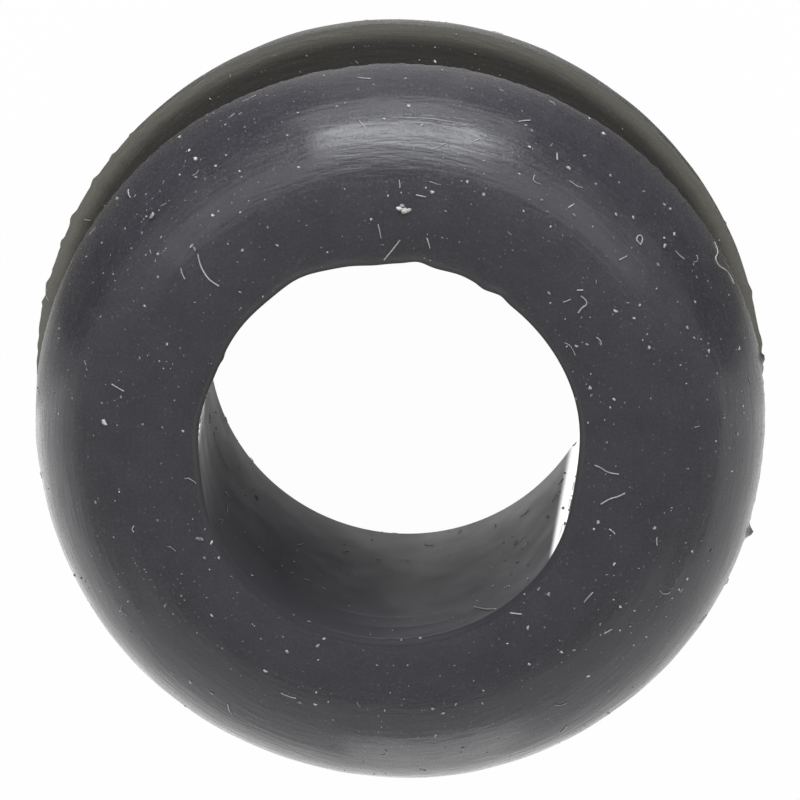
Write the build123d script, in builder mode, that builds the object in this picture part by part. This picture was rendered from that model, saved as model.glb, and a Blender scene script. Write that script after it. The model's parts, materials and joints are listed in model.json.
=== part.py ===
from build123d import *
from math import acos, degrees
import os

# Rubber grommet that lines a round hole in sheet metal or a plastic panel.
# All sizes are in millimetres. The bore axis is +Z, and the origin lies on it,
# halfway up the groove that holds the panel.

# Driving sizes
outer_diameter = 9.5  # across the sharp rims of the two flanges
bore_diameter = 5.1  # straight hole for the cable
panel_hole_diameter = 7.0  # floor of the groove, and the hole that it fills
panel_thickness = 1.6  # width of the groove between its two flat walls
overall_height = 5.4  # from crown to crown
crown_diameter = 6.1  # circle along the highest line of each flange
lip_radius = 0.1  # small round on the edge where a flange meets the bore
root_radius = 0.2  # fillet in each corner of the groove floor

# Radii and heights of the section, measured from the bore axis and the origin
outer_radius = outer_diameter / 2
bore_radius = bore_diameter / 2
floor_radius = panel_hole_diameter / 2
wall_height = panel_thickness / 2
crown_height = overall_height / 2
crown_radius = crown_diameter / 2
# The dome's ellipse runs on over the crown until it meets the bore
dome_angle = degrees(acos((bore_radius - crown_radius) / (outer_radius - crown_radius)))

os.makedirs("parts", exist_ok=True)

# The grommet is moulded in one piece, so its section is turned into one solid.
with BuildPart() as grommet:
    with BuildSketch(Plane.XZ):
        with BuildLine():
            # Upper half of the panel groove: its floor, the corner fillet, and
            # the flat wall that lies on the panel and ends at the sharp rim
            Line((floor_radius, 0), (floor_radius, wall_height - root_radius))
            root = CenterArc(
                (floor_radius + root_radius, wall_height - root_radius),
                root_radius,
                start_angle=180,
                arc_size=-90,
            )
            Line(root @ 1, (outer_radius, wall_height))
            # Domed face of the flange: it leaves the rim upright, is level at
            # the crown and slopes gently down to the edge of the bore
            dome = EllipticalCenterArc(
                (crown_radius, wall_height),
                outer_radius - crown_radius,
                crown_height - wall_height,
                start_angle=0,
                arc_size=dome_angle,
            )
            Line(dome @ 1, (bore_radius, 0))
            # The lower flange is the same as the upper one
            mirror(about=Plane.XZ)
        make_face()
        # Only the two ends of the bore's line are corners
        bore_points = vertices().group_by(Axis.X)[0].sort_by(Axis.Y)
        fillet([bore_points[0], bore_points[-1]], radius=lip_radius)
    revolve(axis=Axis.Z)

grommet.part.label = "grommet"
export_step(grommet.part, "parts/grommet.step")
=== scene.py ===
import json
import math
import random

import bpy
from bpy.props import FloatProperty, FloatVectorProperty, IntProperty, PointerProperty
from mathutils import Matrix, Vector, noise
from mathutils.bvhtree import BVHTree


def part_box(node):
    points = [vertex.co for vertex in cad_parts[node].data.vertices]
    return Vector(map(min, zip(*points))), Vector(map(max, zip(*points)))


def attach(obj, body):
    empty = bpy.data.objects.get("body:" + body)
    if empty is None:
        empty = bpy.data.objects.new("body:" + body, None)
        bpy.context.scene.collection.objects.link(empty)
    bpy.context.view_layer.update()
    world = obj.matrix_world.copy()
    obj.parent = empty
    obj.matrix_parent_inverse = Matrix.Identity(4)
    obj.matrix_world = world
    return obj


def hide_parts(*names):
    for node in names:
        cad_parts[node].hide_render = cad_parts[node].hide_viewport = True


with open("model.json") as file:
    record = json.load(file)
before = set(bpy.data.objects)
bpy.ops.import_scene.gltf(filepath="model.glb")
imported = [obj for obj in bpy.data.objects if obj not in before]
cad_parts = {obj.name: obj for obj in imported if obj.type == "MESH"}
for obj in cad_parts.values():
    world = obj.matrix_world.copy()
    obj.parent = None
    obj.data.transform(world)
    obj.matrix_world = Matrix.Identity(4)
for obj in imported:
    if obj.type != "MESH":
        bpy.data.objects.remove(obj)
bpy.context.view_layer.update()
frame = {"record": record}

bl_info = {
    "name": "Rubber Grommet",
    "version": (1, 0, 0),
    "blender": (4, 5, 0),
    "location": "3D View > Sidebar > Grommet",
    "description": "Moulds a small rubber panel grommet, with the dust and lint that lie on it",
    "category": "Add Mesh",
}

# Sizes that the frame gives, in metres
MM = 0.001
LOW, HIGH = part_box("grommet")
BORE = next(mount for mount in frame["record"]["mounts"] if mount["name"] == "bore")
RIM_RADIUS = (HIGH[1] - LOW[1]) / 2
CROWN_HEIGHT = HIGH[2]
BORE_RADIUS = BORE["dims"]["r_mm"] * MM
BORE_HALF = BORE["dims"]["length_mm"] * MM / 2

# The photograph's frame is square. Its scale is taken at the middle of the grommet.
PHOTO_SIZE = 800
PIXELS_PER_MM = 76.4

# Points that are closer than this are the same point, in metres
CLOSE = 1e-6


def linear(code):
    """An sRGB hex colour as the linear values that Blender mixes."""
    channels = [int(code[i:i + 2], 16) / 255 for i in (1, 3, 5)]
    return [c / 12.92 if c <= 0.04045 else ((c + 0.055) / 1.055) ** 2.4 for c in channels]


class GrommetSizes(bpy.types.PropertyGroup):
    rim_radius: FloatProperty(
        name="Rim radius", description="Bore axis to the sharp rim of a flange",
        default=RIM_RADIUS, unit="LENGTH", precision=5)
    crown_height: FloatProperty(
        name="Crown height", description="Middle of the groove to the top of a flange",
        default=CROWN_HEIGHT, unit="LENGTH", precision=5)
    bore_radius: FloatProperty(
        name="Bore radius", description="Radius of the straight hole",
        default=BORE_RADIUS, unit="LENGTH", precision=5)
    bore_half: FloatProperty(
        name="Half bore", description="Middle of the groove to the end of the straight hole",
        default=BORE_HALF, unit="LENGTH", precision=5)
    crown_radius: FloatProperty(
        name="Crown radius", description="Bore axis to the highest line of a flange",
        default=3.05 * MM, unit="LENGTH", precision=5)
    lip_radius: FloatProperty(
        name="Lip radius", description="Small round on the edge of the bore",
        default=0.1 * MM, unit="LENGTH", precision=5)
    floor_radius: FloatProperty(
        name="Groove floor radius", description="Bore axis to the floor of the panel groove",
        default=3.5 * MM, unit="LENGTH", precision=5)
    groove_width: FloatProperty(
        name="Groove width", description="Space between the flanges, which the panel fills",
        default=1.6 * MM, unit="LENGTH", precision=5)
    root_radius: FloatProperty(
        name="Root radius", description="Fillet in the corners of the groove floor",
        default=0.2 * MM, unit="LENGTH", precision=5)
    steps: IntProperty(
        name="Steps round", description="Steps of the turn about the bore axis", default=580)
    lean: FloatVectorProperty(
        name="Lean", description="How far the lower flange lies out of line with the upper one",
        size=2, default=(-0.105 * MM, 0.147 * MM), unit="LENGTH", precision=5)


class RubberSettings(bpy.types.PropertyGroup):
    black: FloatVectorProperty(
        name="Rubber", description="Black rubber with carbon filler",
        subtype="COLOR", size=3, default=linear("#343338"))
    pin_black: FloatVectorProperty(
        name="Bore rubber", description="Cleaner, blacker rubber in the hole",
        subtype="COLOR", size=3, default=linear("#292932"))
    # Painted glow and painted light: the pale colour laid along both ends of the hole
    edge: FloatVectorProperty(
        name="Bore edge", description="Rubber rubbed paler at the edges of the hole",
        subtype="COLOR", size=3, default=linear("#77746f"))
    bloom: FloatVectorProperty(
        name="Bloom", description="Pale film of wax and talc on the rubber",
        subtype="COLOR", size=3, default=linear("#403f45"))
    # The groove's colour is partly a film of talc and dust and partly painted light
    groove_film_and_painted_light: FloatVectorProperty(
        name="Groove film", description="Thicker, warmer film of talc and dust in the groove",
        subtype="COLOR", size=3, default=linear("#494643"))
    # Also the colour of the band along the rims' groove side, which is partly talc and partly a painted
    # glow
    talc: FloatVectorProperty(
        name="Talc", description="Specks of bloom, and talc at the rim of the groove",
        subtype="COLOR", size=3, default=linear("#7f7d75"))
    mark_spacing: FloatProperty(
        name="Tool mark spacing", description="Distance between the fine rings cut in the mould",
        default=0.065 * MM, unit="LENGTH", precision=6)


class DirtSettings(bpy.types.PropertyGroup):
    grains: IntProperty(
        name="Grains", description="Fine grains of dust on the whole part", default=8500)
    fibres: IntProperty(
        name="Fibres", description="Short fibres on the whole part", default=150)
    seed: IntProperty(name="Seed", description="Start of the random places", default=17)
    grain_size: FloatProperty(
        name="Grain size", description="Usual radius of a fine grain",
        default=0.008 * MM, unit="LENGTH", precision=6)
    fibre_size: FloatProperty(
        name="Fibre size", description="Radius of a fibre",
        default=0.0042 * MM, unit="LENGTH", precision=6)
    dust: FloatVectorProperty(
        name="Dust", description="Pale grains", subtype="COLOR", size=3, default=linear("#c9c7c2"))
    lint: FloatVectorProperty(
        name="Lint", description="Pale fibres", subtype="COLOR", size=3, default=linear("#cdccc8"))


class StageSettings(bpy.types.PropertyGroup):
    floor: FloatVectorProperty(
        name="Floor", description="Plain pale floor", subtype="COLOR", size=3, default=linear("#f2f1ee"))
    camera_distance: FloatProperty(
        name="Camera distance", description="Camera to the middle of the grommet",
        default=190 * MM, unit="LENGTH")
    camera_tilt: FloatProperty(
        name="Camera tilt", description="Angle between the view and the bore axis",
        default=math.radians(15.3), unit="ROTATION")
    camera_turn: FloatProperty(
        name="Camera turn", description="Direction that the camera leans to, from +X",
        default=math.radians(78.6), unit="ROTATION")


def deselect():
    """Clears the selection, because an operator acts on all that is selected."""
    if bpy.context.object and bpy.context.object.mode != "OBJECT":
        bpy.ops.object.mode_set(mode="OBJECT")
    bpy.ops.object.select_all(action="DESELECT")


def new_material(name):
    material = bpy.data.materials.new(name)
    material.use_nodes = True
    material.node_tree.nodes.clear()
    return material


def add_node(material, kind, settings=None, values=None, links=None):
    """Adds one shader node. values are set on its sockets, and links join sockets to it."""
    node = material.node_tree.nodes.new("ShaderNode" + kind)
    for key, value in (settings or {}).items():
        setattr(node, key, value)
    for key, value in (values or {}).items():
        node.inputs[key].default_value = value
    for key, source in (links or {}).items():
        material.node_tree.links.new(source, node.inputs[key])
    return node


def finish_piece(piece, name, material):
    """Names a finished piece, gives it its material and lets it ride on the grommet."""
    piece.name = name
    piece.data.name = name
    piece.data.materials.clear()
    piece.data.materials.append(material)
    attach(piece, "root")


# Camera and stage

def camera_axes(stage):
    """The camera's right, up and backward directions. It leans past the vertical, so that
    the lower flange shows beyond the upper one at the top of the picture."""
    hinge = Vector((-math.sin(stage.camera_turn), math.cos(stage.camera_turn), 0))
    return Matrix.Rotation(stage.camera_tilt, 3, hinge)


# The picture's middle lies this far right of and above the upper flange's axis
AIM = Vector((-3.53, 2.70, 0)) / PIXELS_PER_MM * MM


def camera_aim(scene):
    """The point in the middle of the picture, near the middle of the grommet."""
    lean = Vector((*scene.grommet_sizes.lean, 0))
    return camera_axes(scene.grommet_stage) @ AIM - lean / 2


def photo_ray(scene, x, y):
    """The line of sight through a point of the 800 by 800 photograph."""
    stage = scene.grommet_stage
    axes = camera_axes(stage)
    eye = camera_aim(scene) + axes @ Vector((0, 0, stage.camera_distance))
    across = Vector((x - PHOTO_SIZE / 2, PHOTO_SIZE / 2 - y, 0)) / PIXELS_PER_MM * MM
    return eye, (axes @ across + camera_aim(scene) - eye).normalized()


def floor_material(stage):
    """Matt white paper. To the camera and in gloss it shows as a clean white background, and
    a share of it stays plain lit paper, so that the grommet's soft shadow is kept. Gloss
    sees a painted shade on it, darker towards the far side of the grommet and off to the sides."""
    paper = new_material("floor_paper")
    path = add_node(paper, "LightPath")
    camera = path.outputs["Is Camera Ray"]
    gloss = add_node(paper, "Math", {"operation": "MAXIMUM"}, None,
                     {0: path.outputs["Is Glossy Ray"], 1: path.outputs["Is Transmission Ray"]})
    # A fiftieth of the floor stays lit paper to the camera, which shows the soft shadow
    direct = add_node(paper, "Math", {"operation": "MULTIPLY"}, {1: 0.98}, {0: camera})
    share = add_node(paper, "Math", {"operation": "MAXIMUM"}, None,
                     {0: direct.outputs[0], 1: gloss.outputs[0]})
    # Painted shade in the reflections: the glow that gloss sees is darker past the grommet's far side,
    # darkest off to the sides
    place = add_node(paper, "TexCoord").outputs["Object"]
    split = add_node(paper, "SeparateXYZ", None, None, {"Vector": place})
    aside = add_node(paper, "Math", {"operation": "ABSOLUTE"}, None, {0: split.outputs["X"]})
    dark = add_node(paper, "MapRange", None,
                    {"From Min": 1.5 * MM, "From Max": 4 * MM, "To Min": 0.45, "To Max": 0.05},
                    {"Value": aside.outputs[0]})
    fall = add_node(paper, "MapRange", None,
                    {"From Min": -1.0 * MM, "From Max": 1.5 * MM, "To Min": 1.0},
                    {"Value": split.outputs["Y"], "To Max": dark.outputs[0]})
    strength = add_node(paper, "Math", {"operation": "MAXIMUM"}, None,
                        {0: camera, 1: fall.outputs[0]})
    matt = add_node(paper, "BsdfDiffuse", None, {"Color": (*stage.floor, 1)})
    glow = add_node(paper, "Emission", None, {"Color": (1, 1, 1, 1)},
                    {"Strength": strength.outputs[0]})
    mix = add_node(paper, "MixShader", None, None,
                   {0: share.outputs[0], 1: matt.outputs[0], 2: glow.outputs[0]})
    add_node(paper, "OutputMaterial", None, None, {"Surface": mix.outputs[0]})
    return paper


COOL = (0.96, 0.98, 1.0)
WHITE = (1, 1, 1)

# Softboxes: distance in millimetres, direction from +X, heights of the lower and the upper
# edge above the horizon and width in degrees, brightness and colour
SOFTBOXES = (
    ("key_softbox", 90, 90, 3, 23, 40, 7.0, COOL),
    ("key_middle_pane", 90, 91, 24.5, 37, 38, 3.0, COOL),
    ("key_upper_pane", 90, 92, 37, 47, 44, 0.8, COOL),
    ("low_card", 17, 90, -9, 3, 46, 2.2, COOL),
    ("left_panel", 120, 135, 22, 48, 34, 0.9, COOL),
    ("right_panel", 120, 45, 22, 48, 34, 0.9, COOL),
    ("front_card", 120, -90, 0, 15, 110, 0.72, WHITE),
    ("front_middle_card", 17, -86, -9, 18, 26, 1.15, WHITE),
    ("front_panel", 120, -90, 15, 48, 90, 0.5, WHITE),
)

# Cards on the floor: two corners in millimetres, and brightness
REFLECTORS = (
    ("front_reflector", (-20, -19), (3, -1), 0.32),
    ("side_reflector", (-8.3, -2.7), (-4.9, -0.9), 0.4),
)
CARD_THICKNESS = 0.02 * MM


def studio_world():
    """Plain, even studio light from all round."""
    world = bpy.data.worlds.new("studio")
    world.use_nodes = True
    world.node_tree.nodes.clear()
    room = add_node(world, "Background", None, {"Color": (1, 1, 1, 1), "Strength": 0.48})
    add_node(world, "OutputWorld", None, None, {"Surface": room.outputs[0]})
    return world


def add_panel(name, place, rotation, size, radiance, colour=WHITE):
    """A rectangular area light of an even brightness, which the camera itself doesn't see."""
    bpy.ops.object.light_add(type="AREA", location=place, rotation=rotation)
    panel = bpy.context.object
    panel.name = name
    panel.visible_camera = False
    panel.data.shape = "RECTANGLE"
    panel.data.size, panel.data.size_y = size
    panel.data.energy = radiance * math.pi * size[0] * size[1]
    panel.data.color = colour


def add_softbox(name, distance, turn, low, high, width, radiance, colour):
    """A softbox that faces the middle of the grommet."""
    distance = distance * MM
    middle = math.radians((low + high) / 2)
    turn = math.radians(turn)
    place = distance * Vector((math.cos(middle) * math.cos(turn),
                               math.cos(middle) * math.sin(turn), math.sin(middle)))
    facing = (-place).to_track_quat("-Z", "Y").to_euler()
    size = [2 * distance * math.tan(math.radians(angle) / 2) for angle in (width, high - low)]
    add_panel(name, place, facing, size, radiance, colour)


def add_reflector(name, low, high, radiance, floor_height):
    """A bright card that lies face up on the floor between two corners, and so lights the
    rims and the inside of the bore from below."""
    size = [(end - start) * MM for start, end in zip(low, high)]
    middle = [(start + end) / 2 * MM for start, end in zip(low, high)]
    add_panel(name, (*middle, floor_height + CARD_THICKNESS), (math.pi, 0, 0), size, radiance)


class GROMMET_OT_stage(bpy.types.Operator):
    """Adds the floor, the soft light and the camera at the photograph's angle"""
    bl_idname = "grommet.stage"
    bl_label = "Set the Stage"

    def execute(self, context):
        scene = context.scene
        stage = scene.grommet_stage
        floor_height = -scene.grommet_sizes.crown_height
        deselect()
        bpy.ops.mesh.primitive_plane_add(size=2.0, location=(0, 0, floor_height))
        floor = context.object
        floor.name = "floor"
        floor.data.materials.append(floor_material(stage))

        for softbox in SOFTBOXES:
            add_softbox(*softbox)
        for reflector in REFLECTORS:
            add_reflector(*reflector, floor_height)
        scene.world = studio_world()

        axes = camera_axes(stage)
        bpy.ops.object.camera_add()
        camera = context.object
        camera.name = "photo_camera"
        place = camera_aim(scene) + axes @ Vector((0, 0, stage.camera_distance))
        camera.matrix_world = Matrix.Translation(place) @ axes.to_4x4()
        camera.data.sensor_width = 36
        frame_width = PHOTO_SIZE / PIXELS_PER_MM * MM
        camera.data.lens = camera.data.sensor_width * stage.camera_distance / frame_width
        camera.data.clip_start = 1 * MM
        camera.data.clip_end = 10
        camera.data.dof.use_dof = False
        scene.camera = camera
        scene.view_settings.view_transform = "Standard"
        return {"FINISHED"}


# Grommet body

def dome_axes(sizes):
    """Half width and half height of the ellipse that the domed faces follow."""
    return (sizes.rim_radius - sizes.crown_radius,
            sizes.crown_height - sizes.groove_width / 2)


def section(sizes):
    """The upper half of the turned section, as points from the middle of the bore, round its
    edge and over the dome to the rim, and in along the groove to its floor."""
    across, up = dome_axes(sizes)
    wall = sizes.groove_width / 2
    points = []
    # Bore wall, with close rows where the ridges of flash stand
    for share in (0.2, 0.4, 0.55, 0.575, 0.588, 0.601, 0.63, 0.7, 0.75, 0.765, 0.776, 0.787, 0.802,
                  0.85, 0.91, 0.95, 0.975, 0.99, 1.0):
        points.append((sizes.bore_radius, share * sizes.bore_half))
    # Small round on the edge of the bore, as far as the slope of the dome
    meet = math.acos((sizes.bore_radius - sizes.crown_radius) / across)
    slope = math.atan2(-up * math.cos(meet), across * math.sin(meet))
    for step in range(1, 7):
        angle = math.pi - step / 6 * (math.pi / 2 - slope)
        points.append((sizes.bore_radius + sizes.lip_radius * (1 + math.cos(angle)),
                       sizes.bore_half + sizes.lip_radius * math.sin(angle)))
    # Dome, with rows that close up towards the sharp rim
    start = math.acos((points[-1][0] - sizes.crown_radius) / across)
    rows = 40
    for step in range(1, rows + 1):
        angle = start * (1 - step / rows) ** 1.12
        points.append((sizes.crown_radius + across * math.cos(angle), wall + up * math.sin(angle)))
    foot = sizes.floor_radius + sizes.root_radius
    for share in (0.02, 0.05, 0.1, 0.2, 0.35, 0.55, 0.78, 1.0):
        points.append((sizes.rim_radius + (foot - sizes.rim_radius) * share, wall))
    for step in range(1, 5):
        angle = math.pi / 2 + step / 4 * math.pi / 2
        points.append((foot + sizes.root_radius * math.cos(angle),
                       wall - sizes.root_radius + sizes.root_radius * math.sin(angle)))
    for share in (0.5, 0.0):
        points.append((sizes.floor_radius, (wall - sizes.root_radius) * share))
    return [Vector((radius, 0, height)) for radius, height in points]


# How the real part strays from the true section. Lengths are in millimetres, and directions
# and spreads round the bore are in degrees.

# How far the wall of the bore stands out from its true radius at the upper end, and how
# much further at the lower one. Then where the middle of the hole lies at both ends.
UPPER_STAND = -0.026
WIDENING = 0.073
UPPER_SHIFT = Vector((-0.010, -0.050, 0))
LOWER_SHIFT = Vector((-0.062, 0.035, 0))

# Where the wall stands in and makes the hole slightly oval, most of all at the upper end:
# direction, spread and how far it stands in
MOUTH_OVAL = (
    (-9, 17, 0.085),
    (157, 14, 0.072),
    (186, 15, 0.075),
)

# Where the flash on the upper edge of the bore was torn and trimmed: direction, spread and
# how far the edge stands in, or is cut out where it is below zero
TRIM_DEPTH = 0.2
MOUTH_TRIM = (
    (55, 2.4, -0.028),
    (60.5, 2.0, 0.018),
    (68, 5, -0.022),
    (81, 3.5, -0.045),
    (94, 5.5, 0.03),
    (116, 8, -0.05),
    (150, 1.6, 0.015),
)

# Faint ridges of flash inside the mouth, on its -Y side: direction, spread, depth below the
# edge and height
RIDGE_WIDTH = 0.04
MOUTH_RIDGES = (
    (-88, 15, -0.01, 0.015),
    (-80, 9, 0.16, 0.011),
    (-84, 15, 0.57, 0.005),
    (-97, 22, 1.03, 0.004),
)

# The sharp rims: width of the band that is torn, how far it reaches in from the rim, and
# how ragged it is
RIM_WIDTH = 0.07
RIM_REACH = 0.35
RAGGED = 0.014

# Small nibs of rubber left on the rims: flange (1 upper, -1 lower), direction, spread and
# height
RIM_NIBS = (
    (1, -18.2, 0.9, 0.085),
    (1, -27.0, 0.7, 0.04),
    (1, 10.2, 1.0, 0.06),
    (-1, 1.6, 0.8, 0.02),
    (-1, 6.0, 1.4, 0.03),
    (-1, 14.3, 0.9, 0.025),
    (-1, 26.1, 0.8, 0.025),
    (-1, 33.0, 1.5, 0.02),
    (-1, 132.5, 0.8, 0.02),
    (-1, 137.0, 0.7, 0.02),
    (-1, 141.5, 0.9, 0.03),
    (-1, 146.5, 1.0, 0.03),
    (-1, 153.5, 0.9, 0.035),
    (-1, 157.9, 0.6, 0.03),
    (-1, 165.0, 0.7, 0.03),
    (-1, 168.2, 0.6, 0.03),
    (-1, 214.0, 1.2, 0.03),
    (1, 205.0, 1.0, 0.025),
)

# Height of the slow waves of the soft flanges, and where a whole flange stands out or in:
# flange, direction, spread and height
WAVY = 0.02
RIM_SWELL = (
    (1, -85, 38, 0.028),
    (1, -14, 12, -0.018),
    (-1, 132, 26, -0.016),
)


def smooth_step(low, high, value):
    """0 up to low, 1 from high on, and a smooth step between them."""
    share = min(max((value - low) / (high - low), 0), 1)
    return share * share * (3 - 2 * share)


def fade(away, spread):
    """1 at no distance, falling to 0 at a few spreads away."""
    return math.exp(-(away / spread) ** 2)


def bump(angle, centre, spread):
    """1 in the direction of centre, fading to both sides of it. Angles are in degrees."""
    return fade((angle - centre + 180) % 360 - 180, spread)


def uneven(ring, fineness, layer):
    """Smooth noise round the bore, from about -1 to 1. Each layer has a pattern of its own."""
    return noise.noise(ring * fineness + Vector((0, 0, layer)))


def settled(point, sizes):
    """Where a point of the true section ends up on the real, soft and slightly uneven part."""
    radius = math.hypot(point.x, point.y)
    angle = math.atan2(point.y, point.x)
    degrees = math.degrees(angle)
    side = 1 if point.z > 0 else -1
    height = abs(point.z)
    wall = sizes.groove_width / 2
    ring = Vector((math.cos(angle), math.sin(angle), 0))

    # Share of the bore in this point: all of it in the hole, and none of it past the crown
    inside = 1 - smooth_step(sizes.bore_radius, sizes.crown_radius, radius)
    # The hole is a little narrow and oval at the top, and wide at the bottom
    depth = min(max(0.5 - 0.5 * point.z / sizes.bore_half, 0), 1)
    move = (UPPER_STAND + WIDENING * depth) * MM
    for centre, spread, stand in MOUTH_OVAL:
        move -= (1 - depth) * stand * MM * bump(degrees, centre, spread)
    # Torn and trimmed edge
    if side > 0:
        mouth = fade(height - sizes.bore_half, TRIM_DEPTH * MM)
        for centre, spread, stand in MOUTH_TRIM:
            move -= mouth * stand * MM * bump(degrees, centre, spread)
        for centre, spread, below, stand in MOUTH_RIDGES:
            ridge = fade(height - sizes.bore_half + below * MM, RIDGE_WIDTH * MM)
            frayed = 1 + uneven(ring, 28, 40 * below)
            move -= ridge * frayed * stand * MM * bump(degrees, centre, spread)
    move *= inside

    # Ragged rim and its nibs
    edge = fade(height - wall, RIM_WIDTH * MM)
    edge *= smooth_step(sizes.rim_radius - RIM_REACH * MM, sizes.rim_radius, radius)
    torn = uneven(ring, 42, 11 * side) + 0.6 * uneven(ring, 95, 5 * side)
    move += edge * RAGGED * MM * torn
    for flange, centre, spread, stand in RIM_NIBS:
        if flange == side:
            move += edge * stand * MM * bump(degrees, centre, spread)

    # Slow waves of the soft flange
    outside = smooth_step(sizes.crown_radius, sizes.rim_radius, radius)
    wave = 0.8 + uneven(ring, 2.3, 2 * side) + 0.35 * uneven(ring, 9, side)
    move += outside * WAVY * MM * wave
    for flange, centre, spread, stand in RIM_SWELL:
        if flange == side:
            move += outside * stand * MM * bump(degrees, centre, spread)

    # The lower flange lies out of line, and the hole leans less than the flanges do
    lean = Vector((*sizes.lean, 0))
    flange_lean = lean * (-0.5 * side * smooth_step(0, wall, height))
    hole_lean = (UPPER_SHIFT * (1 - depth) + LOWER_SHIFT * depth) * MM
    return point + ring * move + flange_lean * (1 - inside) + hole_lean * inside


def along_section(point, sizes):
    """Distance along the section from the rim, in millimetres, which the tool marks follow.
    It is below zero inside the groove."""
    radius = math.hypot(point.x, point.y)
    height = abs(point.z)
    wall = sizes.groove_width / 2
    across, up = dome_axes(sizes)
    if height < wall + CLOSE and radius > sizes.bore_radius + CLOSE:
        return (radius - sizes.rim_radius) / MM
    over = (across + up) / 2 * math.atan2((height - wall) / up,
                                         (radius - sizes.crown_radius) / across)
    if radius > sizes.bore_radius + CLOSE:
        return over / MM
    return (over + sizes.bore_half - height) / MM


# Radius of the circle on which the streaks of the tool marks have their true length
STREAK_RADIUS = RIM_RADIUS * 0.8


def ring_marks(material, place, along, spacing, reach):
    """Noise that is drawn out round the bore, as a lathe tool leaves it. spacing is the
    distance between its rings, and reach the length of its streaks, both in metres."""
    split = add_node(material, "SeparateXYZ", None, None, {"Vector": place})
    flat = add_node(material, "CombineXYZ", None, None,
                    {"X": split.outputs["X"], "Y": split.outputs["Y"]})
    around = add_node(material, "VectorMath", {"operation": "NORMALIZE"}, None,
                      {0: flat.outputs[0]})
    ring = add_node(material, "VectorMath", {"operation": "SCALE"},
                    {"Scale": STREAK_RADIUS / reach}, {0: around.outputs[0]})
    ring_split = add_node(material, "SeparateXYZ", None, None, {0: ring.outputs[0]})
    turns = add_node(material, "Math", {"operation": "DIVIDE"}, {1: spacing / MM}, {0: along})
    turned = add_node(material, "CombineXYZ", None, None, {
        "X": ring_split.outputs["X"], "Y": ring_split.outputs["Y"], "Z": turns.outputs[0]})
    return add_node(material, "TexNoise", None, {"Scale": 1.0, "Detail": 2.0, "Roughness": 0.55},
                    {"Vector": turned.outputs[0]})


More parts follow.
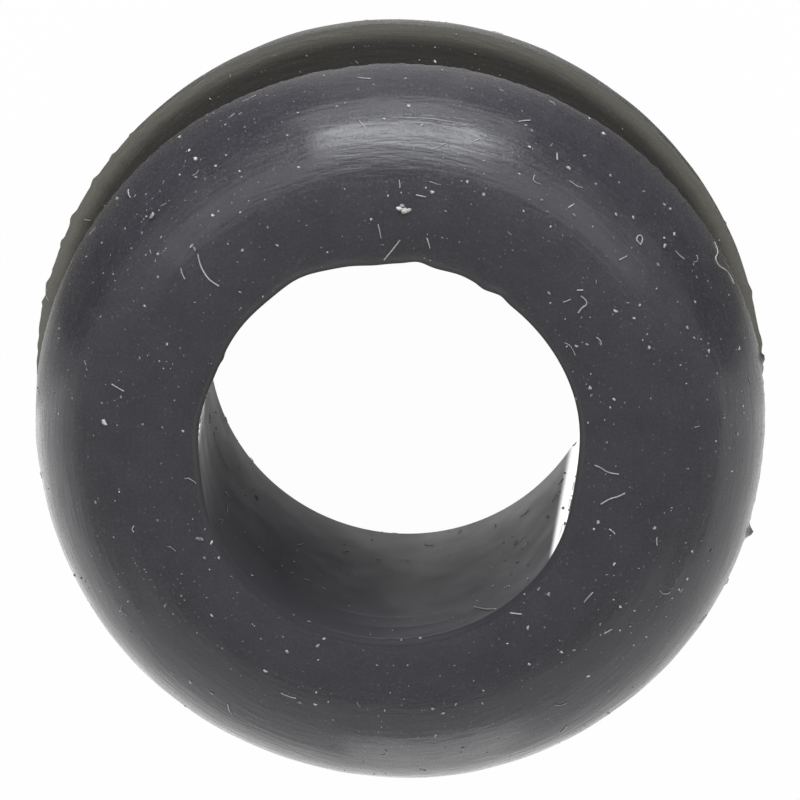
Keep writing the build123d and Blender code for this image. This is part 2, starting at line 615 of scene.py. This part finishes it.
def rubber_material(rubber):
    """Black rubber, compression moulded in a turned steel mould: a dull satin black with a
    faint grey film of wax and talc. The fine rings of the mould streak its highlights, and
    the groove keeps more of the film, because nothing rubs it there; the groove's paler colour
    is partly that film and partly painted light, and the pale band along the rims' groove side
    is partly talc and partly a painted glow."""
    material = new_material("moulded_black_rubber")
    place = add_node(material, "TexCoord").outputs["Object"]
    along = add_node(material, "Attribute", {"attribute_name": "along_mm"}).outputs["Fac"]
    marks = ring_marks(material, place, along, rubber.mark_spacing, 0.4 * MM)
    bands = ring_marks(material, place, along, rubber.mark_spacing * 4, 3 * MM)

    # Fine grain of the rubber, about 35 micrometres, and faint patches of half a millimetre
    grain = add_node(material, "TexNoise", None,
                     {"Scale": 1 / (0.035 * MM), "Detail": 2.0, "Roughness": 0.55}, {"Vector": place})
    patches = add_node(material, "TexNoise", None,
                       {"Scale": 1 / (0.5 * MM), "Detail": 5.0, "Roughness": 0.65}, {"Vector": place})

    # The mould was turned, then rubbed with emery in places, so its rings fade in and out.
    # They are deeper towards +Y and -Y
    split = add_node(material, "SeparateXYZ", None, None, {"Vector": place})
    away = add_node(material, "Math", {"operation": "ABSOLUTE"}, None, {0: split.outputs["Y"]})
    deeper = add_node(material, "MapRange", {"interpolation_type": "SMOOTHSTEP"},
                      {"From Min": 2.3 * MM, "From Max": 3.6 * MM, "To Min": 0.5},
                      {"Value": away.outputs[0]})
    rubbed = add_node(material, "TexNoise", None, {"Scale": 1 / (0.9 * MM), "Detail": 1.0},
                      {"Vector": place})
    uncut = add_node(material, "MapRange", None,
                     {"From Min": 0.38, "From Max": 0.62, "To Min": 0.6, "To Max": 1.1},
                     {"Value": rubbed.outputs[0]})
    kept = add_node(material, "Math", {"operation": "MULTIPLY"}, None,
                    {0: deeper.outputs[0], 1: uncut.outputs[0]})
    band_bump = add_node(material, "Bump", None, {"Strength": 0.7, "Distance": 0.009 * MM},
                         {"Height": bands.outputs[0]})
    mark_bump = add_node(material, "Bump", None, {"Distance": 0.0075 * MM},
                         {"Height": marks.outputs[0], "Normal": band_bump.outputs[0],
                          "Strength": kept.outputs[0]})
    grain_bump = add_node(material, "Bump", None, {"Strength": 0.4, "Distance": 0.003 * MM},
                          {"Height": grain.outputs[0], "Normal": mark_bump.outputs[0]})

    mottle = add_node(material, "Math", {"operation": "ADD"}, None,
                      {0: patches.outputs[0], 1: grain.outputs[0]})
    film = add_node(material, "MapRange", None, {"From Min": 0.7, "From Max": 1.3},
                    {"Value": mottle.outputs[0]})
    face = add_node(material, "Mix", {"data_type": "RGBA"},
                    {"A": (*rubber.black, 1), "B": (*rubber.bloom, 1)},
                    {"Factor": film.outputs[0]})
    # along is below zero inside the groove
    in_groove = add_node(material, "MapRange", None, {"From Min": 0.0, "From Max": -0.12},
                         {"Value": along})
    # Painted light in the groove: the groove film colour is partly a real film of talc and dust and
    # partly painted light
    with_groove_film_and_painted_light = add_node(material, "Mix", {"data_type": "RGBA"}, {"B": (*rubber.groove_film_and_painted_light, 1)},
                      {"Factor": in_groove.outputs[0], "A": face.outputs["Result"]})
    # Talc colour along the rim, on its groove side only: partly talc packed against the rim, partly a
    # painted glow at the rim's edge
    rim_talc_and_glow = add_node(material, "MapRange", {"interpolation_type": "SMOOTHERSTEP"},
                      {"From Min": -0.32, "From Max": 0.0}, {"Value": along})
    inner = add_node(material, "Math", {"operation": "LESS_THAN"}, {1: 0.004}, {0: along})
    talc = add_node(material, "Math", {"operation": "MULTIPLY"}, None,
                    {0: rim_talc_and_glow.outputs[0], 1: inner.outputs[0]})
    edged = add_node(material, "Mix", {"data_type": "RGBA"}, {"B": (*rubber.talc, 1)},
                     {"Factor": talc.outputs[0], "A": with_groove_film_and_painted_light.outputs["Result"]})
    # Specks of bloom about 20 micrometres across, in about half of the Voronoi cells
    specks = add_node(material, "TexVoronoi", None, {"Scale": 1 / (0.07 * MM)}, {"Vector": place})
    near = add_node(material, "MapRange", None,
                    {"From Min": 0.08, "From Max": 0.2, "To Min": 1.0, "To Max": 0.0},
                    {"Value": specks.outputs["Distance"]})
    lot = add_node(material, "SeparateColor", None, None, {0: specks.outputs["Color"]})
    few = add_node(material, "MapRange", None, {"From Min": 0.45, "To Max": 0.8},
                   {"Value": lot.outputs[0]})
    speck = add_node(material, "Math", {"operation": "MULTIPLY"}, None,
                     {0: near.outputs[0], 1: few.outputs[0]})
    colour = add_node(material, "Mix", {"data_type": "RGBA"}, {"B": (*rubber.talc, 1)},
                      {"Factor": speck.outputs[0], "A": edged.outputs["Result"]})
    # The marks and the grain make the gloss uneven
    broken = add_node(material, "Math", {"operation": "ADD"}, None,
                      {0: marks.outputs[0], 1: grain.outputs[0]})
    dull = add_node(material, "MapRange", None,
                    {"From Min": 0.75, "From Max": 1.25, "To Min": 0.13, "To Max": 0.35},
                    {"Value": broken.outputs[0]})
    surface = add_node(material, "BsdfPrincipled", None,
                       {"IOR": 1.52, "Sheen Weight": 0.15, "Sheen Roughness": 0.35,
                        "Sheen Tint": (*linear("#efeade"), 1)},
                       {"Base Color": colour.outputs["Result"], "Roughness": dull.outputs[0],
                        "Normal": grain_bump.outputs[0]})
    add_node(material, "OutputMaterial", None, None, {"Surface": surface.outputs[0]})
    return material


def bore_material(rubber):
    """The same rubber where a ground steel pin formed the hole. Its skin is very finely
    rough, so it looks dull from above, and it turns to a mirror only at a grazing view."""
    material = new_material("pin_formed_black_rubber")
    place = add_node(material, "TexCoord").outputs["Object"]
    along = add_node(material, "Attribute", {"attribute_name": "along_mm"}).outputs["Fac"]
    marks = ring_marks(material, place, along, rubber.mark_spacing * 3, 4 * MM)
    patches = add_node(material, "TexNoise", None,
                       {"Scale": 1 / (0.6 * MM), "Detail": 4.0, "Roughness": 0.6}, {"Vector": place})
    film = add_node(material, "MapRange", None, {"From Min": 0.3, "From Max": 0.75},
                    {"Value": patches.outputs[0]})
    wall = add_node(material, "Mix", {"data_type": "RGBA"},
                    {"A": (*rubber.pin_black, 1), "B": (*rubber.black, 1)},
                    {"Factor": film.outputs[0]})
    skin = add_node(material, "MapRange", None,
                    {"From Min": 0.3, "From Max": 0.7, "To Min": 0.5, "To Max": 0.6},
                    {"Value": patches.outputs[0]})
    relief = add_node(material, "Bump", None, {"Strength": 0.3, "Distance": 0.004 * MM},
                      {"Height": marks.outputs[0]})
    # The edges at both ends are painted paler: a painted glow on the upper edge, strongest towards +Y,
    # and painted light and glow at the lower end, next to the bright floor
    split = add_node(material, "SeparateXYZ", None, None, {"Vector": place})
    upper_glow_by_side = add_node(material, "MapRange", None, {
        "From Min": -1.9 * MM, "From Max": 0.2 * MM, "To Min": 0.1, "To Max": 0.33},
        {"Value": split.outputs["Y"]})
    upper = add_node(material, "MapRange", {"interpolation_type": "SMOOTHSTEP"},
                     {"From Min": 2.4 * MM, "From Max": 2.58 * MM},
                     {"Value": split.outputs["Z"], "To Max": upper_glow_by_side.outputs[0]})
    # Painted light and glow on the lower end of the wall
    lower = add_node(material, "MapRange", {"interpolation_type": "SMOOTHSTEP"},
                     {"From Min": -1.6 * MM, "From Max": -2.7 * MM, "To Max": 0.65},
                     {"Value": split.outputs["Z"]})
    paler = add_node(material, "Math", {"operation": "ADD"}, None,
                     {0: upper.outputs[0], 1: lower.outputs[0]})
    colour = add_node(material, "Mix", {"data_type": "RGBA"}, {"B": (*rubber.edge, 1)},
                      {"Factor": paler.outputs[0], "A": wall.outputs["Result"]})
    # The skin is smoother towards the lower end, and rougher towards -X and -Y
    near_side = add_node(material, "MapRange", {"interpolation_type": "SMOOTHSTEP"},
                         {"From Min": -0.2 * MM, "From Max": -1.3 * MM},
                         {"Value": split.outputs["Y"]})
    coarse = add_node(material, "MapRange", None, {
        "From Min": -1.4 * MM, "From Max": 0.2 * MM, "To Min": 0.19, "To Max": 0.0},
        {"Value": split.outputs["X"]})
    rough = add_node(material, "Math", {"operation": "MULTIPLY_ADD"}, None,
                     {0: near_side.outputs[0], 1: coarse.outputs[0], 2: skin.outputs[0]})
    smooth = add_node(material, "MapRange", {"interpolation_type": "SMOOTHSTEP"},
                      {"From Min": -0.6 * MM, "From Max": -2.2 * MM, "To Max": 0.12},
                      {"Value": split.outputs["Z"]})
    dull = add_node(material, "Math", {"operation": "SUBTRACT"}, None,
                    {0: rough.outputs[0], 1: smooth.outputs[0]})
    # The pin was smoother on its +X side, which turns to a mirror sooner
    facing = add_node(material, "LayerWeight").outputs["Facing"]
    later = add_node(material, "MapRange", None, {
        "From Min": -1.5 * MM, "From Max": 1.5 * MM, "To Min": 0.066, "To Max": 0.0},
        {"Value": split.outputs["X"]})
    grazing = add_node(material, "Math", {"operation": "SUBTRACT"}, None,
                       {0: facing, 1: later.outputs[0]})
    mirror = add_node(material, "MapRange", {"interpolation_type": "SMOOTHSTEP"},
                      {"From Min": 0.882, "From Max": 0.91}, {"Value": grazing.outputs[0]})
    gloss = add_node(material, "Mix", None, {"B": 0.03},
                     {"Factor": mirror.outputs[0], "A": dull.outputs[0]})
    surface = add_node(material, "BsdfPrincipled", None,
                       {"IOR": 1.5, "Specular IOR Level": 0.16, "Coat Roughness": 0.03,
                        "Coat IOR": 1.7},
                       {"Base Color": colour.outputs["Result"], "Roughness": gloss.outputs[0],
                        "Normal": relief.outputs[0], "Coat Weight": mirror.outputs[0]})
    add_node(material, "OutputMaterial", None, None, {"Surface": surface.outputs[0]})
    return material


class GROMMET_OT_body(bpy.types.Operator):
    """Turns the section into the moulded grommet and settles it into its real, uneven form"""
    bl_idname = "grommet.body"
    bl_label = "Mould the Grommet"

    def execute(self, context):
        sizes = context.scene.grommet_sizes
        start = Vector((sizes.bore_radius, 0, 0))
        deselect()
        bpy.ops.mesh.primitive_plane_add(size=0.1 * MM, location=(0, 0, 0))
        body = context.object
        bpy.ops.object.mode_set(mode="EDIT")
        bpy.ops.mesh.select_mode(type="VERT")
        bpy.ops.mesh.select_all(action="SELECT")
        bpy.ops.mesh.merge(type="CENTER")
        bpy.ops.transform.translate(value=start)
        # The section is drawn by pulling its last point from place to place
        for point in section(sizes):
            bpy.ops.mesh.extrude_region_move(TRANSFORM_OT_translate={"value": point - start})
            start = point
        bpy.ops.mesh.select_all(action="SELECT")
        bpy.ops.mesh.duplicate_move()
        bpy.ops.transform.resize(value=(1, 1, -1), center_override=(0, 0, 0))
        bpy.ops.mesh.select_all(action="SELECT")
        bpy.ops.mesh.remove_doubles(threshold=CLOSE)
        bpy.ops.mesh.select_all(action="SELECT")
        bpy.ops.mesh.spin(steps=sizes.steps, angle=math.tau, center=(0, 0, 0), axis=(0, 0, 1))
        bpy.ops.mesh.select_all(action="SELECT")
        bpy.ops.mesh.remove_doubles(threshold=CLOSE)
        bpy.ops.mesh.normals_make_consistent(inside=False)
        bpy.ops.object.mode_set(mode="OBJECT")

        mesh = body.data
        along = mesh.attributes.new("along_mm", "FLOAT", "POINT")
        in_bore = []
        for vertex in mesh.vertices:
            true = vertex.co.copy()
            along.data[vertex.index].value = along_section(true, sizes)
            in_bore.append(math.hypot(true.x, true.y) < sizes.bore_radius + sizes.lip_radius)
            vertex.co = settled(true, sizes)
        rubber = context.scene.grommet_rubber
        finish_piece(body, "grommet_body", rubber_material(rubber))
        mesh.materials.append(bore_material(rubber))
        for face in mesh.polygons:
            if all(in_bore[index] for index in face.vertices):
                face.material_index = 1
        bpy.ops.object.shade_smooth_by_angle(angle=math.radians(40))
        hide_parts("grommet")
        return {"FINISHED"}


# Dust and lint

# Larger grains of dust as the photograph shows them: place and width in its pixels
SEEN_GRAINS = (
    (399, 209, 7), (404, 211, 9), (408, 210, 7), (402, 206, 6), (153, 216, 8), (192, 246, 5),
    (195, 249, 5), (199, 539, 8), (212, 542, 5), (219, 558, 4), (205, 529, 3), (117, 199, 5),
    (180, 137, 5), (189, 151, 4), (196, 159, 6),
    (216, 166, 4), (196, 177, 4), (158, 254, 4), (142, 233, 4), (409, 106, 5), (337, 107, 4),
    (345, 103, 3), (298, 113, 4), (422, 125, 4), (435, 62, 4), (442, 70, 3), (432, 192, 5),
    (467, 182, 4), (388, 196, 3), (529, 147, 4), (532, 131, 4), (568, 168, 5), (603, 134, 5),
    (584, 156, 4), (541, 200, 4), (547, 212, 4), (574, 215, 4), (610, 176, 4), (619, 183, 4),
    (596, 184, 4), (616, 215, 5), (633, 217, 4), (664, 205, 5), (670, 209, 4), (674, 234, 5),
    (664, 246, 6), (658, 265, 5), (616, 311, 5), (634, 318, 4), (640, 305, 4), (549, 293, 4),
    (687, 327, 5), (649, 348, 5), (708, 351, 5), (739, 348, 4), (694, 338, 4), (587, 344, 4),
    (577, 346, 4), (590, 388, 5), (591, 395, 4), (614, 399, 4), (240, 292, 4), (96, 502, 4),
    (158, 520, 4), (165, 606, 4), (212, 616, 4), (252, 576, 4), (309, 622, 4), (318, 646, 5),
    (324, 639, 4), (287, 651, 5), (266, 671, 5), (173, 673, 4), (191, 682, 5), (212, 693, 4),
    (300, 702, 5), (598, 522, 5), (655, 528, 5), (692, 551, 4), (614, 564, 4), (687, 579, 4),
    (679, 589, 4), (549, 594, 5), (620, 607, 4), (600, 624, 4), (630, 626, 4), (528, 628, 5),
    (561, 652, 4), (574, 650, 4), (529, 664, 4), (588, 676, 4), (204, 558, 4), (565, 473, 3),
    (560, 492, 3), (563, 508, 4), (548, 517, 5),
)

# Fibres as the photograph shows them: points along each in its pixels
SEEN_FIBRES = (
    ((400, 240), (393, 249), (384, 260)),
    ((378, 224), (380, 231), (381, 238)),
    ((427, 238), (429, 243), (430, 248)),
    ((198, 254), (200, 265), (206, 276), (212, 282), (219, 286)),
    ((181, 268), (182, 274), (185, 279)),
    ((474, 607), (484, 610), (497, 609), (508, 613), (522, 614)),
    ((595, 465), (602, 468), (608, 473), (619, 474)),
    ((601, 504), (610, 498), (618, 497), (625, 493)),
    ((563, 302), (567, 301), (571, 299)),
    ((581, 296), (586, 299), (587, 305), (582, 307), (578, 313)),
    ((577, 290), (583, 290)),
    ((112, 384), (118, 388), (124, 391)),
    ((129, 190), (128, 194), (131, 198)),
    ((675, 251), (679, 256), (684, 259)),
    ((657, 537), (656, 541), (657, 545)),
    ((609, 529), (612, 530), (615, 534)),
    ((281, 693), (289, 697), (296, 698)),
    ((228, 704), (229, 710), (232, 714)),
    ((134, 526), (131, 529), (134, 532)),
    ((358, 78), (364, 79), (371, 79)),
    ((518, 122), (524, 121), (530, 121)),
    ((416, 195), (421, 196), (426, 197)),
    ((399, 180), (400, 184), (400, 188)),
    ((596, 337), (602, 340), (601, 345)),
    ((584, 602), (589, 596), (593, 592)),
    ((561, 732), (567, 726)),
    ((568, 208), (574, 204)),
    ((474, 141), (480, 139)),
    ((619, 260), (627, 256)),
    ((604, 633), (612, 629)),
    ((557, 153), (557, 160)),
    ((640, 244), (636, 241), (637, 236), (641, 235), (643, 240), (640, 245)),
    ((714, 242), (719, 252), (714, 258), (719, 267), (728, 271), (734, 284)),
)


def ordered_faces(body):
    """The body's faces in one fixed order, because Blender lists the faces of a merged mesh
    in a new order each time, and the random places would change with it."""
    return sorted(body.data.polygons, key=lambda face: tuple(face.vertices))


def skin_of(body):
    """The body's surface, to lay dirt on."""
    return BVHTree.FromPolygons([vertex.co for vertex in body.data.vertices],
                                [face.vertices for face in ordered_faces(body)])


def seen_place(scene, skin, x, y):
    """The place and normal on the rubber that shows at a point of the photograph."""
    place, normal, _, _ = skin.ray_cast(*photo_ray(scene, x, y))
    return place, normal


def random_places(body, count, rng):
    """Places and normals spread evenly over the whole of the body."""
    faces = ordered_faces(body)
    areas = [face.area for face in faces]
    for face in rng.choices(faces, weights=areas, k=count):
        yield face.center.copy(), face.normal.copy()


GRAIN_SHAPES = 5


def grain_shapes(rng):
    """A few rough grains of unit radius, each modelled once and then copied."""
    shapes = []
    for number in range(GRAIN_SHAPES):
        bpy.ops.mesh.primitive_ico_sphere_add(subdivisions=1, radius=1.0, location=(0, 0, 0))
        shape = bpy.context.object
        shape.name = f"grain_shape_{number}"
        for vertex in shape.data.vertices:
            vertex.co *= rng.uniform(0.45, 1.35)
        shapes.append(shape)
    return shapes


def lay_grain(shape, place, normal, size, rng):
    """A copy of a grain with its own mesh, flattened and turned as it happens to lie."""
    grain = shape.copy()
    grain.data = shape.data.copy()
    lie = normal.to_track_quat("Z", "Y").to_matrix().to_4x4()
    turn = Matrix.Rotation(rng.uniform(0, math.tau), 4, "Z")
    stretch = rng.uniform(0.7, 1.4)
    scale = Matrix.Diagonal((size * stretch, size / stretch, size * rng.uniform(0.4, 0.8), 1))
    lifted = place + normal * size * 0.3
    grain.data.transform(Matrix.Translation(lifted) @ lie @ turn @ scale)
    bpy.context.collection.objects.link(grain)
    return grain


def is_bare(place, sizes):
    """Whether a place is in the bore or close to a rim, where little dust stays. The bare
    band along the rims is widest on the -Y side."""
    if place.y > -1 * MM:
        band = 0.12 * MM
    elif place.y > -2.5 * MM:
        band = 0.5 * MM
    else:
        band = 1.0 * MM
    out = math.hypot(place.x, place.y)
    return out < sizes.bore_radius + sizes.lip_radius or out > sizes.rim_radius - band


def dust_material(dirt):
    """Household and moulding dust: matt pale grains of skin, talc and rubber crumb, so it is
    grey and uneven and has no gloss to speak of."""
    material = new_material("dust_grains")
    place = add_node(material, "TexCoord").outputs["Object"]
    patches = add_node(material, "TexNoise", None,
                       {"Scale": 1 / (0.15 * MM), "Detail": 1.0}, {"Vector": place})
    pale = add_node(material, "MapRange", None, {"From Min": 0.35, "From Max": 0.65},
                    {"Value": patches.outputs[0]})
    colour = add_node(material, "Mix", {"data_type": "RGBA"},
                      {"A": (*linear("#77767a"), 1), "B": (*dirt.dust, 1)},
                      {"Factor": pale.outputs[0]})
    surface = add_node(material, "BsdfPrincipled", None, {"Roughness": 0.8, "IOR": 1.45},
                       {"Base Color": colour.outputs["Result"]})
    add_node(material, "OutputMaterial", None, None, {"Surface": surface.outputs[0]})
    return material


def lint_material(dirt):
    """Undyed cotton and paper fibre: thin, pale and soft, with a faint sheen."""
    material = new_material("cotton_lint")
    place = add_node(material, "TexCoord").outputs["Object"]
    patches = add_node(material, "TexNoise", None,
                       {"Scale": 1 / (0.2 * MM), "Detail": 1.0}, {"Vector": place})
    colour = add_node(material, "Mix", {"data_type": "RGBA"},
                      {"A": (*linear("#7c7b7a"), 1), "B": (*dirt.lint, 1)},
                      {"Factor": patches.outputs[0]})
    surface = add_node(material, "BsdfPrincipled", None,
                       {"Roughness": 0.6, "IOR": 1.5, "Sheen Weight": 0.3},
                       {"Base Color": colour.outputs["Result"]})
    add_node(material, "OutputMaterial", None, None, {"Surface": surface.outputs[0]})
    return material


class GROMMET_OT_dust(bpy.types.Operator):
    """Lays grains of dust on the rubber, where the photograph shows them and at random"""
    bl_idname = "grommet.dust"
    bl_label = "Lay the Dust"

    def execute(self, context):
        scene = context.scene
        sizes = scene.grommet_sizes
        dirt = scene.grommet_dirt
        rng = random.Random(dirt.seed)
        body = scene.objects["grommet_body"]
        skin = skin_of(body)
        deselect()
        shapes = grain_shapes(rng)
        grains = []
        for x, y, width in SEEN_GRAINS:
            place, normal = seen_place(scene, skin, x, y)
            if place:
                size = width / 2 / PIXELS_PER_MM * MM * 0.8
                grains.append(lay_grain(rng.choice(shapes), place, normal, size, rng))
        for place, normal in random_places(body, dirt.grains, rng):
            # Dust gathers in patches of about a millimetre
            gathered = noise.noise(place * 700) + rng.uniform(-0.5, 0.5)
            if gathered < (0.4 if is_bare(place, sizes) else -0.1):
                continue
            size = dirt.grain_size * rng.lognormvariate(0, 0.45)
            grains.append(lay_grain(rng.choice(shapes), place, normal, size, rng))
        deselect()
        for grain in grains:
            grain.select_set(True)
        context.view_layer.objects.active = grains[0]
        bpy.ops.object.join()
        finish_piece(context.object, "dust", dust_material(dirt))
        for shape in shapes:
            bpy.data.objects.remove(shape)
        return {"FINISHED"}


class GROMMET_OT_lint(bpy.types.Operator):
    """Lays fibres on the rubber, where the photograph shows them and at random"""
    bl_idname = "grommet.lint"
    bl_label = "Lay the Lint"

    def execute(self, context):
        scene = context.scene
        dirt = scene.grommet_dirt
        rng = random.Random(dirt.seed + 1)
        body = scene.objects["grommet_body"]
        skin = skin_of(body)
        routes = []
        for pixels in SEEN_FIBRES:
            found = [seen_place(scene, skin, x, y) for x, y in pixels]
            routes.append([(place, normal) for place, normal in found if place])
        seen = len(routes)
        for place, normal in random_places(body, dirt.fibres, rng):
            heading = normal.orthogonal().normalized()
            heading.rotate(Matrix.Rotation(rng.uniform(0, math.tau), 3, normal))
            turn = rng.uniform(-0.5, 0.5)
            route = [(place, normal)]
            for _ in range(rng.randint(2, 6)):
                heading.rotate(Matrix.Rotation(turn + rng.uniform(-0.4, 0.4), 3, normal))
                ahead = place + heading * rng.uniform(0.02, 0.05) * MM
                place, normal, _, _ = skin.find_nearest(ahead)
                heading = (heading - normal * heading.dot(normal)).normalized()
                route.append((place, normal))
            routes.append(route)

        deselect()
        curve = bpy.data.curves.new("lint", "CURVE")
        curve.dimensions = "3D"
        curve.bevel_depth = dirt.fibre_size
        curve.bevel_resolution = 1
        curve.resolution_u = 4
        curve.use_fill_caps = True
        for number, route in enumerate(routes):
            if len(route) < 2:
                continue
            # A fibre that is large enough to be placed by the photograph is a thick one
            thick = 1.9 if number < seen else 1.0
            fibre = curve.splines.new("NURBS")
            fibre.points.add(len(route) - 1)
            for point, (place, normal) in zip(fibre.points, route):
                point.co = (*(place + normal * dirt.fibre_size * rng.uniform(0.5, 3.0)), 1)
                point.radius = thick * rng.uniform(0.7, 1.3)
            fibre.order_u = min(3, len(route))
            fibre.use_endpoint_u = True
        lint = bpy.data.objects.new("lint", curve)
        context.collection.objects.link(lint)
        context.view_layer.objects.active = lint
        lint.select_set(True)
        bpy.ops.object.convert(target="MESH")
        finish_piece(context.object, "lint", lint_material(dirt))
        return {"FINISHED"}


class GROMMET_PT_panel(bpy.types.Panel):
    """Lists the steps that build the grommet"""
    bl_idname = "GROMMET_PT_panel"
    bl_label = "Rubber Grommet"
    bl_space_type = "VIEW_3D"
    bl_region_type = "UI"
    bl_category = "Grommet"

    def draw(self, context):
        layout = self.layout
        for operator in STEPS:
            layout.operator(operator.bl_idname)
        for group in ("grommet_sizes", "grommet_rubber", "grommet_dirt", "grommet_stage"):
            settings = getattr(context.scene, group)
            box = layout.box()
            for name in settings.__annotations__:
                box.prop(settings, name)


GROUPS = {
    "grommet_sizes": GrommetSizes,
    "grommet_rubber": RubberSettings,
    "grommet_dirt": DirtSettings,
    "grommet_stage": StageSettings,
}
STEPS = (GROMMET_OT_stage, GROMMET_OT_body, GROMMET_OT_dust, GROMMET_OT_lint)
CLASSES = (*GROUPS.values(), *STEPS, GROMMET_PT_panel)


def register():
    for cls in CLASSES:
        bpy.utils.register_class(cls)
    for name, group in GROUPS.items():
        setattr(bpy.types.Scene, name, PointerProperty(type=group))


def unregister():
    for name in GROUPS:
        delattr(bpy.types.Scene, name)
    for cls in reversed(CLASSES):
        bpy.utils.unregister_class(cls)


def main():
    register()
    bpy.ops.grommet.stage()
    bpy.ops.grommet.body()
    bpy.ops.grommet.dust()
    bpy.ops.grommet.lint()


if __name__ == "__main__":
    main()
